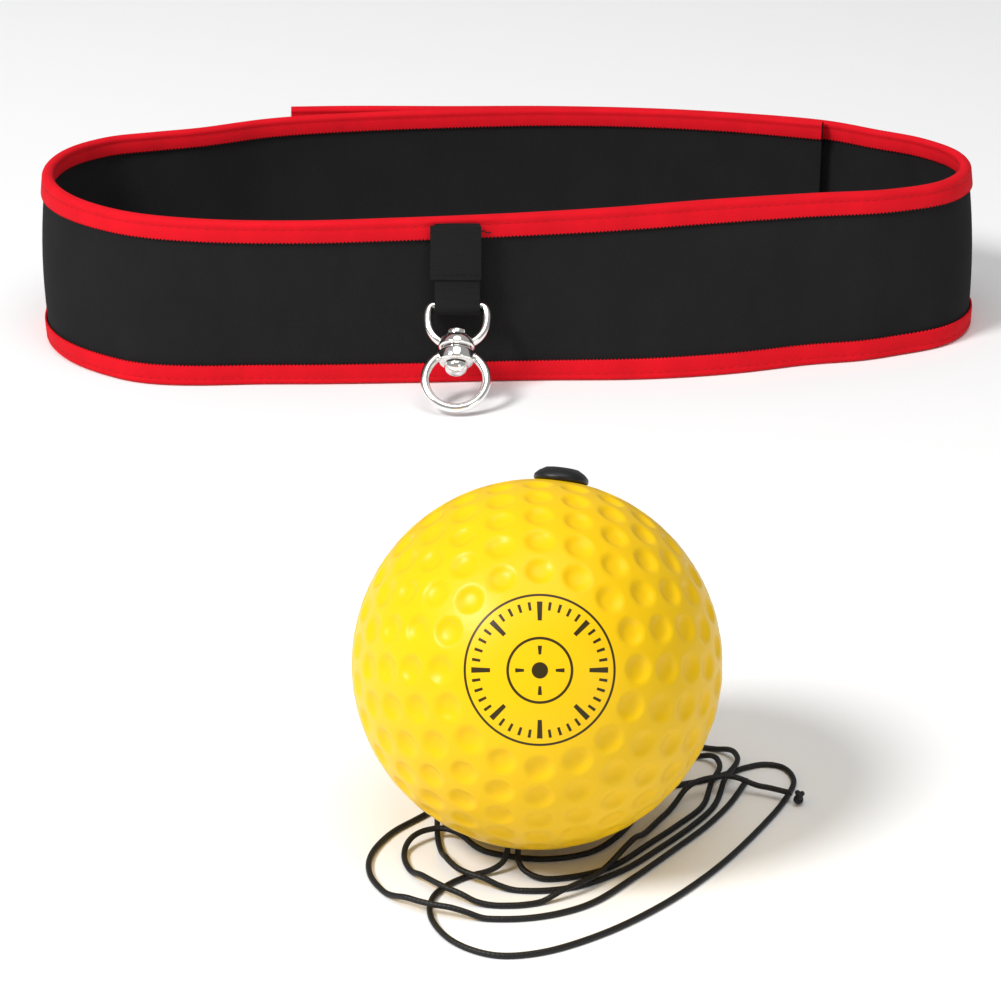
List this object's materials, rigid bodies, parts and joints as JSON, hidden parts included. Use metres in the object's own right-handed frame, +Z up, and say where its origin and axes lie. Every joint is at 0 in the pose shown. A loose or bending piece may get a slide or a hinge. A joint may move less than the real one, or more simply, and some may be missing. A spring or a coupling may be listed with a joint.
{
  "type": "reflex ball headband",
  "caption": "Elastic headband with hook-and-loop closure and a front swivel, and a dimpled foam ball on a knotted cord for hand-eye training.",
  "frame": {"origin": "middle of the base: centre of the floor rectangle that the headband and ball cover, without the loose cord", "axes": "+Z up, +X to the right of someone facing the headband's front, +Y from the ball towards the headband's back"},
  "size_m": [0.2378, 0.3541, 0.0649],
  "materials": {
    "black_elastic": "matt close-woven elastic",
    "red_binding": "folded woven tape, stitched",
    "soft_loop": "brushed loop pile",
    "stiff_hook": "hook tape",
    "black_webbing": "narrow ribbed webbing",
    "nickel_plate": "bright nickel plate",
    "yellow_foam": "skinned polyurethane foam, dimpled",
    "black_plug": "smooth moulded",
    "black_cord": "covered elastic cord"
  },
  "bodies": {
    "headband": {"band_elastic": "black_elastic", "band_top_binding": "red_binding", "band_bottom_binding": "red_binding", "loop_patch": "soft_loop", "ring_tab": "black_webbing"},
    "closure_tongue": {"tongue_elastic": "black_elastic", "tongue_top_binding": "red_binding", "tongue_bottom_binding": "red_binding", "hook_patch": "stiff_hook"},
    "swivel_top": {"swivel_upper_ring": "nickel_plate", "swivel_rivet": "nickel_plate", "swivel_washer": "nickel_plate"},
    "swivel_bottom": {"swivel_lower_ring": "nickel_plate"},
    "ball": {"ball_foam": "yellow_foam", "ball_plug": "black_plug", "anchor_knot": "black_cord", "cord_in_ball": "black_cord", "cord_left_tail": "black_cord", "cord_right_tail": "black_cord", "cord_end_knot": "black_cord"}
  },
  "joints": [
    {"name": "closure_peel", "type": "hinge", "parent": "headband", "child": "closure_tongue", "pos_m": [0.08362, 0.15758, 0], "axis": [0, 0, -1], "range_deg": [0, 70]},
    {"name": "ring_swing", "type": "hinge", "parent": "headband", "child": "swivel_top", "pos_m": [-0.0131, 0.07337, 0.0209], "axis": [0.9997, -0.0242, 0], "range_deg": [-95, 20]},
    {"name": "swivel_spin", "type": "hinge", "parent": "swivel_top", "child": "swivel_bottom", "pos_m": [-0.0131, 0.07337, 0.0209], "axis": [-0.0174, -0.7191, -0.6947], "continuous": true},
    {"name": "ball_slide", "type": "slide", "parent": "headband", "child": "ball", "axis": [0, -1, 0], "range_m": [0, 0.1]}
  ]
}
